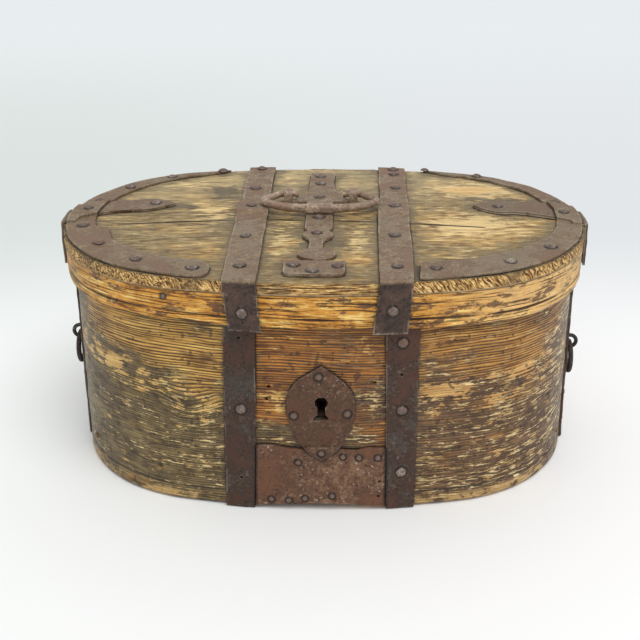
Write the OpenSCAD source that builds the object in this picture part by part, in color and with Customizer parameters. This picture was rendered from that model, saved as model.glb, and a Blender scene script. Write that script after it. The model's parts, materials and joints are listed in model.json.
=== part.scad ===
// Iron-bound bentwood food box with a hinged lid, a swinging handle, two end rings and a lock.
// The floor is z = 0, the front with the keyhole faces -Y and the hinges are at the back.

/* [Box] */
// Length of the lid over its two ends
box_length = 460; // [360:5:560]
// Width of the lid from front to back
box_width = 300; // [240:5:360]
// Distance of the end arc's centre from the middle of the box
end_centre = 90; // [70:1:120]
// Height of the lid's upper face above the floor
lid_top = 212; // [160:1:260]
// Thickness of the lid board
lid_board_t = 11; // [8:0.5:16]

/* [Bent wood] */
// Height of the lid's rim at the middle of the box
rim_h = 29; // [20:1:40]
// Fall of the rim's lower edge toward the right, in mm for each mm of length
rim_fall = 0.012; // [0:0.002:0.02]
// Thickness of the rim
rim_t = 4.6; // [3:0.2:7]
// How far the rim stands in from the lid board's edge
rim_inset = 1; // [0.5:0.1:3]
// How far the wall's outer face stands in from the lid board's edge
wall_inset = 8.2; // [7.5:0.1:12]
// Thickness of the wall
wall_t = 7; // [5:0.5:10]
// Thickness of the bottom board
bottom_t = 13; // [9:1:18]
// Height of the bottom board's lower face above the floor
bottom_z = 18; // [6:1:24]

/* [Iron] */
// Thickness of the straps
iron = 2.5; // [1.5:0.1:3.5]
// Thickness of the crescents, the lower plate and the keyhole plate
sheet = 1.8; // [1.2:0.1:2.5]
// Distance of the two long straps from the middle of the box
strap_x = 64; // [45:1:90]
// Width of a hinge strap
hinge_w = 25.5; // [20:0.5:32]
// Width of the straps on the ends of the body
end_strap_w = 27; // [20:0.5:36]
// Radius of a nail's head
head_r = 4.6; // [3:0.1:6]
// Height of a nail's head
head_h = 2.3; // [1.5:0.1:4]

/* [Moving parts] */
// Height of the hinge pins above the floor
hinge_z = 165.5; // [150:0.5:168]
// Distance of the hinge pins behind the middle of the box
hinge_y = 145; // [140:0.5:150]
// Radius of a hinge pin
pin_r = 2.25; // [1.5:0.05:3]
// Radius of the handle's turned-in ends
bail_pin_r = 2.8; // [2:0.1:4]
// Distance of the handle's pivot behind the middle of the box
bail_y = 44; // [30:1:60]
// Height of the handle's pivot above the lid
bail_rise = 8.9; // [8.5:0.1:11]
// Radius of the end rings to the middle of the wire
ring_r = 13.7; // [10:0.1:20]
// Radius of the ring's wire
ring_wire = 2.3; // [1.5:0.1:3]
// Height of the left ring's eye above the floor
ring_z_left = 101.5; // [60:0.5:140]
// Height of the right ring's eye above the floor
ring_z_right = 94; // [60:0.5:140]

/* [Hidden] */
$fn = 48;

end_r = box_length / 2 - end_centre;
half_gap = box_width / 2 - box_length / 2 + end_centre;
side_k = (end_centre * end_centre - half_gap * half_gap) / (2 * half_gap);
side_r = box_width / 2 + side_k;
rim_top = lid_top - lid_board_t;
rim_low = rim_top - rim_h;
wall_top = rim_top - 0.4;
wall_in = wall_inset + wall_t;
wall_face = wall_inset - iron;
wood_z = iron;
hole_r = 1.35;
shank_r = 1.3;
knuckle_r = pin_r + iron;
knuckle_w = hinge_w / 3;
inner_y = -(side_r - side_k - wall_in);
bolt_y = -120;
bolt_z = 124;
big = 700;

// Nails through the iron on the lid, each as x, y and the height of its head's seat
z1 = lid_top + iron;
zc = lid_top + sheet;
zu = lid_top + iron + sheet + 0.05;
zs = lid_top + 2 * iron + 0.05;
hinge_left_nails = [[-65, 141, z1], [-66.5, 79, z1], [-66, 22.7, zs]];
hinge_right_nails = [[65.5, 141, z1], [65.5, 125, z1], [66.5, 82, z1], [64, 23.5, zs]];
hinge_left_hole = [-65, 125, z1];
front_left_nails = [[-66, 22.7, zs], [-65, -51, z1], [-64.5, -119, z1]];
front_right_nails = [[64, 23.5, zs], [62.3, -48, z1], [62, -118, z1]];
centre_nails = [[-6, 117.5, z1], [-4.5, 94, z1], [-5, 55, z1], [-4, -2, z1], [-4.5, -41, z1]];
plate_nails = [[-21, -117, z1], [-6, -128, z1], [14, -117, z1]];
crescent_left_nails = [[-103, 137, zc], [-151, 117, zc], [-187, 84, zc], [-207, 44, zc], [-213, 17, zu],
    [-210, -24, zc], [-188, -66, zc], [-150, -104, zc], [-102, -121, zc]];
crescent_right_nails = [[97, 140, zc], [147, 122, zc], [211, 44, zc], [214, 9, zu],
    [191, -71, zc], [154, -105, zc], [93, -119, zc]];
crescent_right_hole = [214, -31, zc];
leaf_left_nail = [-155, 35.5, z1];
leaf_right_nail = [157.5, 29.5, z1];
// Nails through the iron on the body, each as x and z
strap_left_nails = [[-65.5, 95.5]];
strap_right_nails = [[67, 157.5], [67.5, 95.5], [67.5, 36.5]];
strap_left_holes = [[-65, 160.5], [-67, 30.5]];
strap_right_holes = [[66.5, 128.5]];
lower_nails = [[-18.6, 47.5], [19, 52.8], [32.3, 51.6], [48.1, 50.7], [-41.7, 10], [-26.8, 9.7],
    [-13.1, 11.6], [9.7, 13.9]];
lower_holes = [[50.2, 28.3], [49.5, 13.6]];
key_plate_nails = [[-1, 127.5], [-21.5, 91.5], [22.5, 93.5]];
key_plate_low_nail = [1, 57];
end_nail_z = [150, 42, 14];
hinge_back_z = [140, 92, 40];
rim_nail_left = [-60.9, 186];
rim_nail_right = [58.3, 188.5];
staple_x = -12;
lock_corners = [[-26, 86], [-26, 148], [50, 86], [50, 148]];

// Flat outline of the box: four arcs that meet where their radii run in line
module oval(inset = 0) {
    far = 1.3 * side_r / (side_r - end_r);
    for (s = [-1, 1]) {
        translate([s * end_centre, 0]) circle(r = end_r - inset, $fn = 180);
    }
    intersection() {
        translate([0, -side_k]) circle(r = side_r - inset, $fn = 720);
        translate([0, side_k]) circle(r = side_r - inset, $fn = 720);
        polygon([[end_centre, 0], [far * end_centre, (far - 1) * side_k],
            [-far * end_centre, (far - 1) * side_k], [-end_centre, 0],
            [-far * end_centre, -(far - 1) * side_k], [far * end_centre, -(far - 1) * side_k]]);
    }
}

// Solid with the box's outline between two heights
module oval_block(inset, low, high) {
    translate([0, 0, low]) linear_extrude(high - low) oval(inset);
}

// A flat outline in x and z, cut through the front of the box as a thick prism
module front_prism() {
    rotate([90, 0, 0]) linear_extrude(box_width) children();
}

// The same for the back of the box
module back_prism() {
    translate([0, box_width, 0]) front_prism() children();
}

// Band of iron bent to the front's curve between two insets and cut to a flat outline
module front_sheet(outer, inner) {
    intersection() {
        translate([0, side_k, 0]) difference() {
            cylinder(r = side_r - outer, h = lid_top, $fn = 720);
            translate([0, 0, -1]) cylinder(r = side_r - inner, h = lid_top + 2, $fn = 720);
        }
        front_prism() children();
    }
}

// A profile in radius and height, swept along the front's curve about the given place
module front_sweep(x, half = 2.6) {
    translate([0, side_k, 0]) rotate([0, 0, -90 + asin(x / side_r) - half])
        rotate_extrude(angle = 2 * half, $fn = 720) children();
}

// The same along the back's curve
module back_sweep(x, half = 2.6) {
    translate([0, -side_k, 0]) rotate([0, 0, 90 - asin(x / side_r) - half])
        rotate_extrude(angle = 2 * half, $fn = 720) children();
}

// The same along the curve of the right end
module end_sweep(half = 12) {
    translate([end_centre, 0, 0]) rotate([0, 0, -half])
        rotate_extrude(angle = 2 * half, $fn = 180) children();
}

// Profile of a lid strap that lies on the board and is bent down over its edge
module bent_over(r, reach, low) {
    translate([r - reach, lid_top]) square([reach, iron]);
    translate([r, low]) square([iron, lid_top - low]);
    translate([r, lid_top]) intersection() {
        circle(r = iron);
        square(iron);
    }
}

// Profile of a body strap that runs down the wall and is turned in under its edge
module turned_under(r, high) {
    translate([r, iron]) square([iron, high - iron]);
    translate([r - wall_t - 2, 0]) square([wall_t + 2, iron]);
    translate([r, iron]) intersection() {
        circle(r = iron);
        translate([0, -iron]) square(iron);
    }
}

// Places that stand square on the front's or the back's curve at the given inset
module at_front(x, z, inset) {
    translate([x, side_k - sqrt(pow(side_r - inset, 2) - x * x), z])
        rotate([90, 0, asin(x / (side_r - inset))]) children();
}

module at_back(x, z, inset) {
    translate([x, sqrt(pow(side_r - inset, 2) - x * x) - side_k, z])
        rotate([-90, 0, -asin(x / (side_r - inset))]) children();
}

// Holes for nails that stand upright in the lid
module lid_holes(list) {
    for (n = list) {
        translate([n[0], n[1], n[2] - 12]) cylinder(r = hole_r, h = 14);
    }
}

// Holes for nails driven in from the front, the back or an end
module front_holes(list, inset) {
    for (n = list) {
        at_front(n[0], n[1], inset) translate([0, 0, -12]) cylinder(r = hole_r, h = 20);
    }
}

module back_holes(x, list) {
    for (z = list) {
        at_back(x, z, wall_face) translate([0, 0, -12]) cylinder(r = hole_r, h = 20);
    }
}

module end_holes(list) {
    for (z = list) {
        translate([200, 0, z]) rotate([0, 90, 0]) cylinder(r = hole_r, h = 40);
    }
}

// One hand-made nail with a domed head that sits on z = 0
module nail(r = head_r, h = head_h, shank = 8) {
    ball = (r * r + h * h) / (2 * h);
    intersection() {
        translate([0, 0, h - ball]) sphere(r = ball);
        cylinder(r = r + 1, h = h + 1);
    }
    translate([0, 0, -shank]) cylinder(r = shank_r, h = shank + 0.2, $fn = 24);
}

// Heads differ a little from nail to nail
function some(i) = head_r + 0.45 * sin(i * 137);

// Bent wood

// The wall's outer end laps over its other end at the back, left of the middle
module body_wall() {
    color("peru") difference() {
        union() {
            oval_block(wall_inset, wood_z, wall_top);
            translate([0, 0, wood_z]) linear_extrude(wall_top - wood_z) intersection() {
                translate([15.95, -579.29]) circle(r = 721.8, $fn = 720);
                translate([-48, 120]) square([78, 40]);
            }
        }
        oval_block(wall_in, wood_z - 1, wall_top + 1);
        key_opening(0.6);
        // Flat seat for the lock on the curved inner face
        translate([-32, inner_y - 0.01, 80]) cube([89, 12, 74]);
        // The worn lower edge arches up between the two straps
        translate([0, -120, wood_z - 537.4]) rotate([90, 0, 0]) cylinder(r = 540, h = 40, $fn = 720);
        // Old nail holes and a worn notch
        for (n = [[-42, 116.5], [-44, 104.5], [45, 120.5]]) {
            translate([n[0], -125, n[1]]) rotate([90, 0, 0]) cylinder(r = 1.5, h = 30, $fn = 24);
        }
        translate([26, -143.5, 150]) rotate([90, 0, 0]) cylinder(r = 4, h = 6, center = true);
        translate([-28, -144, 161.5]) rotate([90, 0, 0]) cylinder(r = 3.4, h = 6.4, center = true);
    }
}

// Stitches of split root through the two layers of the wall's lap
module wall_lacing() {
    low = bottom_z + bottom_t + 5;
    color("burlywood") for (i = [0:6], s = [0, 1]) {
        stitch(s == 0 ? 10 : -22, low + 18 * i + s * 9, 12, s == 0 ? 142.9 : 142.2, wall_t + 1.6);
    }
}

// One stitch: a flat strand outside and inside, and its two legs through the wood
module stitch(x, z, w, y, deep) {
    translate([x, y - 0.4, z]) cube([w, 1.3, 3.2]);
    translate([x, y - deep - 1.2, z]) cube([w, 1.3, 3.2]);
    for (dx = [0, w - 1.4]) {
        translate([x + dx, y - deep - 0.2, z + 0.4]) cube([1.4, deep + 0.2, 2.4]);
    }
}

module bottom_board() {
    color("tan") oval_block(wall_in + 0.02, bottom_z, bottom_z + bottom_t);
}

// Wooden pegs through the wall into the bottom board's edge
module bottom_pegs() {
    high = bottom_z + bottom_t / 2;
    color("sienna") {
        // Angle along each end's arc and height above the board's middle
        for (p = [[-68, -1, 2.8], [-28, -1, 0.4], [24, -1, -0.6], [55, -1, 1],
            [-52, 1, -0.9], [-20, 1, 0.5], [24, 1, 1.2], [55, 1, -1]]) {
            translate([p[1] * end_centre, 0, high + p[2]]) rotate([0, 90, p[1] > 0 ? p[0] : 180 - p[0]])
                translate([0, 0, end_r - wall_inset - 22]) cylinder(r = 2.4, h = 22.6, $fn = 24);
        }
        for (x = [-22, 22]) {
            translate([x, sqrt(pow(side_r - wall_inset, 2) - x * x) - side_k - 22, high])
                rotate([-90, 0, 0]) cylinder(r = 2.4, h = 22.6, $fn = 24);
        }
    }
}

// Board with a drying crack, a slot for the lock's staple and holes for the handle's eyes
module lid_board() {
    color("peru") difference() {
        oval_block(0, rim_top, lid_top);
        translate([0, 0, lid_top - 4]) linear_extrude(5) crack_line();
        translate([staple_x - 7.2, -126.4, lid_top - 2.55]) cube([14.4, 12.8, 5]);
        translate([staple_x - 1.8, -126.4, rim_top - 1]) cube([3.6, 12.8, lid_board_t + 2]);
        for (x = [-33.5, 26.5]) {
            translate([x - 3.9, bail_y - 5.4, rim_top - 1]) cube([7.8, 2.6, lid_board_t + 2]);
            translate([x - 3.9, bail_y + 2.8, rim_top - 1]) cube([7.8, 2.6, lid_board_t + 2]);
        }
        // Empty nail holes
        for (n = [hinge_left_hole, crescent_right_hole]) {
            translate([n[0], n[1], lid_top - 7]) cylinder(r = 1.5, h = 8, $fn = 24);
        }
    }
}

// The crack as a thin wavy strip along the grain
module crack_line() {
    top = [[-180, -14.6], [-150, -10.5], [-120, -6.8], [-90, -3.5], [-52, -0.6], [-20, -1.8], [20, -3.6],
        [50, -4.6], [78, -9.4], [110, -14.2], [142, -19.8]];
    n = len(top);
    polygon(concat(top, [for (i = [n - 2:-1:1]) [top[i][0], top[i][1] - 0.9]]));
}

// Rim whose lower edge falls a little toward the right, with a lap at the back
module lid_rim() {
    color("chocolate") difference() {
        union() {
            oval_block(rim_inset, rim_low - 4, rim_top);
            translate([0, 0, rim_low - 4]) linear_extrude(rim_h + 4) intersection() {
                translate([8.48, -529.02]) circle(r = 678.3, $fn = 720);
                translate([-34, 120]) square([70, 40]);
            }
        }
        oval_block(rim_inset + rim_t, rim_low - 5, rim_top + 1);
        rotate([90, 0, 0]) linear_extrude(2 * box_width, center = true)
            polygon([[-300, rim_low + 300 * rim_fall], [300, rim_low - 300 * rim_fall],
                [300, rim_low - 30], [-300, rim_low - 30]]);
    }
}

module rim_lacing() {
    color("burlywood") for (i = [0:2]) {
        stitch(-18 + 15 * (i % 2), rim_low + 5 + 7.5 * i, 11, 149.45, 5.2);
    }
}

// Iron on the front of the body

module body_strap(x_top, w_top, x_low, w_low, high) {
    intersection() {
        front_sweep((x_top + x_low) / 2) turned_under(side_r - wall_inset, high);
        front_prism() polygon([[x_low - w_low / 2, -1], [x_low + w_low / 2, -1],
            [x_top + w_top / 2, high], [x_top - w_top / 2, high]]);
    }
}

module body_strap_left() {
    color("dimgray") difference() {
        body_strap(-64.5, 26.4, -68.5, 24.5, rim_low - 1);
        front_holes(concat(strap_left_nails, strap_left_holes), wall_face);
    }
}

module body_strap_right() {
    color("dimgray") difference() {
        body_strap(66.9, 27.2, 67.7, 23.3, rim_low - 1.6);
        front_holes(concat(strap_right_nails, strap_right_holes), wall_face);
    }
}

// Broad plate across the foot of the front, between the two straps
module lower_plate() {
    color("dimgray") difference() {
        front_sheet(wall_inset - sheet, wall_inset) polygon([[-55.4, 2.9], [-46, 4.6], [-36, 6], [-18, 6.9],
            [4, 6.8], [24, 6], [40, 4.8], [55.2, 3], [54.4, 59.6], [41, 60.8], [30, 58.8], [14, 60.2],
            [-14, 60.1], [-29, 60.4], [-37, 62.2], [-53.6, 61.8]]);
        front_holes(concat(lower_nails, lower_holes), wall_inset - sheet);
        front_holes([key_plate_low_nail], wall_inset - 2 * sheet - 0.05);
    }
}

// Outline of the six-sided keyhole plate with bowed sides
module key_plate_outline(grow = 0) {
    polygon([[1, 137 + grow], [-10, 130 + grow], [-20, 122.5 + grow], [-26 - grow, 112.5],
        [-27.4 - grow, 103], [-27 - grow, 92], [-24 - grow, 80.5], [-17 - grow, 66], [-8, 56.5 - grow],
        [1.5, 50 - grow], [10, 56 - grow], [18 + grow, 63.5], [25 + grow, 77], [28.4 + grow, 90],
        [28.6 + grow, 103], [26.5 + grow, 113], [20.5, 122 + grow], [11, 130.5 + grow]]);
}

// Keyhole with a round head and a flared foot
module keyhole_2d(grow = 0) {
    translate([1, 103.2]) circle(r = 5.5 + grow, $fn = 48);
    polygon([[-2.3 - grow, 103], [4.3 + grow, 103], [4.3 + grow, 92.8], [7.4 + grow, 89.4],
        [7.2 + grow, 88 - grow], [-5.8 - grow, 87 - grow], [-5.6 - grow, 89.6], [-2.3 - grow, 92.4]]);
}

module key_opening(grow) {
    front_prism() keyhole_2d(grow);
}

// Thin plate that steps out over the lower plate's edge
module keyhole_plate() {
    step = sheet + 0.05;
    color("gray") difference() {
        union() {
            front_sheet(wall_inset - sheet, wall_inset) difference() {
                key_plate_outline();
                translate([-40, 0]) square([80, 60.8]);
            }
            front_sheet(wall_inset - sheet - step, wall_inset - step) intersection() {
                key_plate_outline();
                translate([-40, 0]) square([80, 62.6]);
            }
            front_sheet(wall_inset - sheet - step, wall_inset) intersection() {
                key_plate_outline();
                translate([-40, 60.8]) square([80, 1.8]);
            }
        }
        key_opening(0);
        front_holes(key_plate_nails, wall_inset - sheet);
        front_holes([key_plate_low_nail], wall_inset - 2 * sheet - 0.05);
    }
}

// Hinges at the back

// Rolled knuckle about the hinge line between two places
module knuckle(a, b) {
    translate([a, hinge_y, hinge_z]) rotate([0, 90, 0]) cylinder(r = knuckle_r, h = b - a);
}

module hinge_bore(x) {
    translate([x - hinge_w, hinge_y, hinge_z]) rotate([0, 90, 0]) cylinder(r = pin_r + 0.05, h = 2 * hinge_w);
}

// Strap on the back of the body that rolls round the pin at its middle
module body_hinge(x) {
    a = x - knuckle_w / 2 + 0.15;
    b = x + knuckle_w / 2 - 0.15;
    difference() {
        union() {
            intersection() {
                back_sweep(x) turned_under(side_r - wall_inset, hinge_z - 5.8);
                back_prism() translate([x - hinge_w / 2, -1]) square([hinge_w, hinge_z]);
            }
            translate([a, 0, 0]) rotate([90, 0, 90]) linear_extrude(b - a)
                polygon([[137, 146], [140.6, 146], [hinge_y - 1.6, hinge_z - 1], [hinge_y - 1.6, hinge_z],
                    [hinge_y - knuckle_r, hinge_z]]);
            knuckle(a, b);
        }
        oval_block(wall_inset, wood_z, hinge_z + 20);
        hinge_bore(x);
        back_holes(x, hinge_back_z);
    }
}

// Strap on the lid that goes over the back edge to the two outer knuckles
module lid_hinge(x) {
    reach = 12;
    edge = sqrt(side_r * side_r - x * x) - side_k;
    difference() {
        union() {
            intersection() {
                back_sweep(x) bent_over(side_r, reach, hinge_z);
                translate([x - hinge_w / 2, 100, 0]) cube([hinge_w, 60, lid_top + 10]);
            }
            difference() {
                translate([x - hinge_w / 2, 13, lid_top]) cube([hinge_w, edge - 13, iron]);
                difference() {
                    translate([x - 30, edge - 30, lid_top - 1]) cube([60, 60, iron + 2]);
                    translate([0, -side_k, 0]) cylinder(r = side_r - reach + 0.02, h = big, $fn = 720);
                }
            }
            knuckle(x - hinge_w / 2, x - knuckle_w / 2 - 0.15);
            knuckle(x + knuckle_w / 2 + 0.15, x + hinge_w / 2);
        }
        translate([x - knuckle_w / 2 - 0.15, 120, 100])
            cube([knuckle_w + 0.3, 50, hinge_z + knuckle_r + 0.45 - 100]);
        hinge_bore(x);
    }
}

module hinge_pin(x) {
    color("dimgray") translate([x - hinge_w / 2 - 2, hinge_y, hinge_z]) rotate([0, 90, 0]) {
        cylinder(r = pin_r, h = hinge_w + 4);
        cylinder(r = pin_r + 0.9, h = 1.6);
        translate([0, 0, hinge_w + 2.4]) cylinder(r = pin_r + 0.9, h = 1.6);
    }
}

module body_hinge_left() {
    color("dimgray") body_hinge(-strap_x);
}

module body_hinge_right() {
    color("dimgray") body_hinge(strap_x);
}

module hinge_pin_left() {
    hinge_pin(-strap_x);
}

module hinge_pin_right() {
    hinge_pin(strap_x);
}

module lid_hinge_left() {
    color("dimgray") difference() {
        lid_hinge(-strap_x);
        lid_holes(concat(hinge_left_nails, [hinge_left_hole]));
    }
}

module lid_hinge_right() {
    color("dimgray") difference() {
        lid_hinge(strap_x);
        lid_holes(hinge_right_nails);
    }
}

// Iron on the lid

// Front strap: laps over the hinge strap, runs forward and is bent down over the rim
module lid_strap(xa, wa, xe, we, xb, wb, low) {
    reach = 10;
    edge = side_k - sqrt(side_r * side_r - xe * xe);
    intersection() {
        front_sweep(xe) bent_over(side_r, reach, low);
        front_prism() polygon([[xe - we / 2, lid_top + 10], [xe - we / 2, lid_top], [xb - wb / 2, low],
            [xb + wb / 2, low], [xe + we / 2, lid_top], [xe + we / 2, lid_top + 10]]);
    }
    intersection() {
        rotate([90, 0, 90]) linear_extrude(2 * box_length, center = true)
            polygon([[32, lid_top + iron + 0.05], [32, zs], [10.8, zs], [5.6, z1], [edge, z1], [edge, lid_top],
                [6.8, lid_top], [12, lid_top + iron + 0.05]]);
        linear_extrude(big) polygon([[xa - wa / 2, 40], [xa + wa / 2, 40], [xe + we / 2, edge + 14],
            [xe + we / 2, edge - 10], [xe - we / 2, edge - 10], [xe - we / 2, edge + 14]]);
        translate([0, side_k, 0]) cylinder(r = side_r - reach + 0.02, h = big, $fn = 720);
    }
}

module lid_strap_left() {
    color("dimgray") difference() {
        lid_strap(-64.3, 28, -63, 27.2, -59, 26.6, 170.2);
        lid_holes(front_left_nails);
        front_holes([rim_nail_left], -iron);
    }
}

module lid_strap_right() {
    color("dimgray") difference() {
        lid_strap(62.9, 28.4, 61, 27, 56.6, 27.4, 169);
        lid_holes(front_right_nails);
        front_holes([rim_nail_right], -iron);
    }
}

// Middle strap: two wings reach for the handle's eyes, a lobe and a leaf end it at the front
module centre_strap() {
    color("dimgray") difference() {
        translate([0, 0, lid_top]) {
            linear_extrude(iron) polygon([[-15, 126], [-15, 92], [-15.6, 77], [-18.6, 64], [-24.4, 53.4],
                [-29.2, 48.6], [-29.2, 40.8], [-15, 39.6], [-15.2, -29.5], [-12.6, -31.4], [-12.2, -38],
                [5, -38], [5.4, -31.4], [8.2, -29.5], [8, 39.6], [22.4, 40.8], [22.4, 48.6], [17.6, 53.4],
                [12, 64], [8.6, 77], [8, 92], [8, 126], [5, 130], [-12, 130]]);
            translate([-3.6, -45.6, 0]) cylinder(r = 12.7, h = iron);
            linear_extrude(iron) polygon([[-12, -54], [4, -54], [1.4, -62], [1, -82], [-10.6, -82], [-10.4, -62]]);
            linear_extrude(iron) polygon([[-19, -92], [-17.5, -86.5], [-14.5, -81.5], [-9.5, -78.3], [-2, -77],
                [5, -77.3], [8.8, -79.4], [11, -84], [12.2, -90], [11, -96], [8, -100.6], [3, -103.6],
                [-1, -104.6], [-3.8, -105.8], [-7, -103.6], [-12.5, -100.8], [-16.5, -97]]);
        }
        lid_holes(centre_nails);
    }
}

// Plate that holds the lock's staple in the board
module staple_plate() {
    color("gray") translate([0, 0, lid_top]) difference() {
        linear_extrude(iron) {
            translate([-29.5, -129]) square([49.5, 22.8]);
            translate([-23.5, -135]) square([37.5, 7]);
            translate([-23.5, -129]) circle(r = 6);
            translate([14, -129]) circle(r = 6);
        }
        translate([0, 0, -lid_top]) lid_holes(plate_nails);
    }
}

// Hanging staple with a slot near its foot for the bolt
module lock_staple() {
    color("gray") {
        translate([staple_x - 7, -126.2, lid_top - 2.5]) cube([14, 12.4, 2.5]);
        difference() {
            translate([staple_x - 1.5, -126, 113.5]) cube([3, 12, lid_top - 2 - 113.5]);
            translate([staple_x - 2, bolt_y - 3.4, bolt_z - 6]) cube([4, 6.8, 12]);
        }
    }
}

// Outline of the strap on each end of the lid, a leaf that spreads toward the edge
function end_leaf(s) = s < 0
    ? [[-137, 36.5], [-141, 32.5], [-146, 28.5], [-152, 24], [-159, 20.5], [-167, 18.2], [-174, 17.4],
        [-185, 15.5], [-205, 8], [-220, -3], [-240, -14], [-240, 17], [-222, 23], [-205, 34], [-190, 43],
        [-176, 44], [-170, 46], [-163, 48.2], [-154, 47.2], [-145, 43]]
    : [[135, 33.4], [139, 28.5], [144, 22.8], [150, 17.6], [156, 14.8], [162, 13.4], [168, 15.2], [174, 14.2],
        [184, 10.8], [206, 1], [222, -9], [240, -13.5], [240, 17], [222, 23], [206, 34], [193, 43],
        [182, 42], [174, 41], [168, 43.4], [161, 46], [152, 45], [142, 40.4]];

// Bed under the crescent where it steps over the end strap
module end_bed(s, grow) {
    polygon([[s * 186, (s < 0 ? 12 : 6) - grow], [s * 206, (s < 0 ? 5.5 : -1) - grow],
        [s * 217, (s < 0 ? -2 : -7.5) - grow], [s * 218.5, -15.2 - grow], [s * 245, -18 - grow],
        [s * 245, 20 + grow], [s * 222, 25 + grow], [s * 206, 36 + grow], [s * 186, 47 + grow]]);
}

module lid_end_strap(s) {
    reach = 9;
    low = 175;
    difference() {
        union() {
            intersection() {
                mirror([s < 0 ? 1 : 0, 0, 0]) end_sweep() bent_over(end_r, reach, low);
                rotate([90, 0, 90]) linear_extrude(2 * box_length, center = true)
                    polygon([[-13.4, lid_top + 9], [-13.4, lid_top], [-15.5, low], [12, low], [16.8, lid_top],
                        [16.8, lid_top + 9]]);
            }
            translate([0, 0, lid_top]) linear_extrude(iron) intersection() {
                polygon(end_leaf(s));
                oval(reach - 0.02);
            }
        }
        lid_holes([s < 0 ? leaf_left_nail : leaf_right_nail, s < 0 ? crescent_left_nails[4] : crescent_right_nails[3]]);
        mirror([s < 0 ? 1 : 0, 0, 0]) end_holes([191]);
    }
}

module lid_end_strap_left() {
    color("dimgray") lid_end_strap(-1);
}

module lid_end_strap_right() {
    color("dimgray") lid_end_strap(1);
}

// Crescent along an end of the lid: flat on the wood and stepped over the end strap
module crescent(s) {
    translate([0, 0, lid_top]) {
        linear_extrude(sheet) difference() {
            children();
            end_bed(s, 0);
        }
        translate([0, 0, iron + 0.05]) linear_extrude(sheet) intersection() {
            children();
            end_bed(s, sheet);
        }
        linear_extrude(iron + 0.05 + sheet) intersection() {
            children();
            difference() {
                end_bed(s, sheet);
                end_bed(s, 0);
            }
        }
    }
}

module crescent_left_2d() {
    intersection() {
        oval(3);
        union() {
            polygon([[-92, 141], [-99, 135.4], [-121, 126], [-144, 115], [-162, 102], [-178, 83], [-187, 70],
                [-193, 58], [-199, 40], [-202, 22], [-203.5, 2], [-202, -11], [-197.5, -28], [-187, -28],
                [-180, -52], [-240, -60], [-250, 100], [-150, 200], [-88, 160]]);
            difference() {
                polygon([[-97, -170], [-97, -139], [-93, -137.4], [-90, -134.2], [-88.7, -129], [-88.6, -118],
                    [-90.4, -113.6], [-96, -107], [-140, -40], [-187, -28], [-202, -24], [-260, -28],
                    [-260, -170]]);
                oval(35.5);
            }
        }
    }
}

module crescent_right_2d() {
    intersection() {
        oval(3);
        polygon([[86, 170], [86, 144.6], [105, 134], [120, 127], [140, 118], [158, 108], [175, 92], [184, 82],
            [191, 71], [198, 54], [204, 36], [206.5, 18], [206, -6], [203, -22], [199, -33], [193, -46],
            [184, -58], [172, -70.5], [160, -79.5], [147, -87.5], [130, -95.5], [113, -101], [98, -104.5],
            [84, -106.5], [81, -110], [79.5, -138], [80, -170], [260, -170], [260, 170]]);
    }
}

module crescent_left() {
    color("gray") difference() {
        crescent(-1) crescent_left_2d();
        lid_holes(crescent_left_nails);
    }
}

module crescent_right() {
    color("gray") difference() {
        crescent(1) crescent_right_2d();
        lid_holes(concat(crescent_right_nails, [crescent_right_hole]));
    }
}

// Iron on the ends of the body

// End strap with two holes for the legs of its ring staple
module body_end_strap(high, eye) {
    difference() {
        intersection() {
            end_sweep() turned_under(end_r - wall_inset, high);
            translate([150, -end_strap_w / 2, -1]) cube([100, end_strap_w, lid_top]);
        }
        end_holes(end_nail_z);
        for (s = [-1, 1]) {
            translate([200, 0, eye + s * 5.75]) rotate([0, 90, 0]) cylinder(r = 1.8, h = 40);
        }
    }
}

module body_end_strap_left() {
    color("dimgray") mirror([1, 0, 0]) body_end_strap(rim_low + 1.2, ring_z_left);
}

module body_end_strap_right() {
    color("dimgray") body_end_strap(rim_low - 4, ring_z_right);
}

// Round staple whose legs go through strap and wall and are bent over inside
module ring_staple(eye) {
    out = box_length / 2 - wall_face + 2.9;
    inside = box_length / 2 - wall_in;
    translate([out, 0, eye]) rotate([90, 0, 0]) intersection() {
        rotate_extrude() translate([5.75, 0]) circle(r = 1.75, $fn = 32);
        translate([0, -10, -5]) cube([12, 20, 10]);
    }
    for (s = [-1, 1]) {
        translate([inside - 1.9, 0, eye + s * 5.75]) rotate([0, 90, 0])
            cylinder(r = 1.75, h = out - inside + 1.9, $fn = 32);
        translate([inside - 1.9, 0, eye + s * 5.75]) {
            sphere(r = 1.75, $fn = 32);
            rotate([s > 0 ? 0 : 180, 0, 0]) cylinder(r = 1.75, h = 8, $fn = 32);
        }
    }
}

module ring_staple_left() {
    color("dimgray") mirror([1, 0, 0]) ring_staple(ring_z_left);
}

module ring_staple_right() {
    color("dimgray") ring_staple(ring_z_right);
}

// Ring that hangs from its staple, flat against the strap
module ring(eye) {
    translate([box_length / 2 - wall_face + ring_wire + 0.35, 0, eye - 1.4 - ring_r]) rotate([0, 90, 0])
        rotate_extrude($fn = 96) translate([ring_r, 0]) circle(r = ring_wire, $fn = 40);
}

module ring_left() {
    color("dimgray") mirror([1, 0, 0]) ring(ring_z_left);
}

module ring_right() {
    color("dimgray") ring(ring_z_right);
}

// Handle

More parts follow.
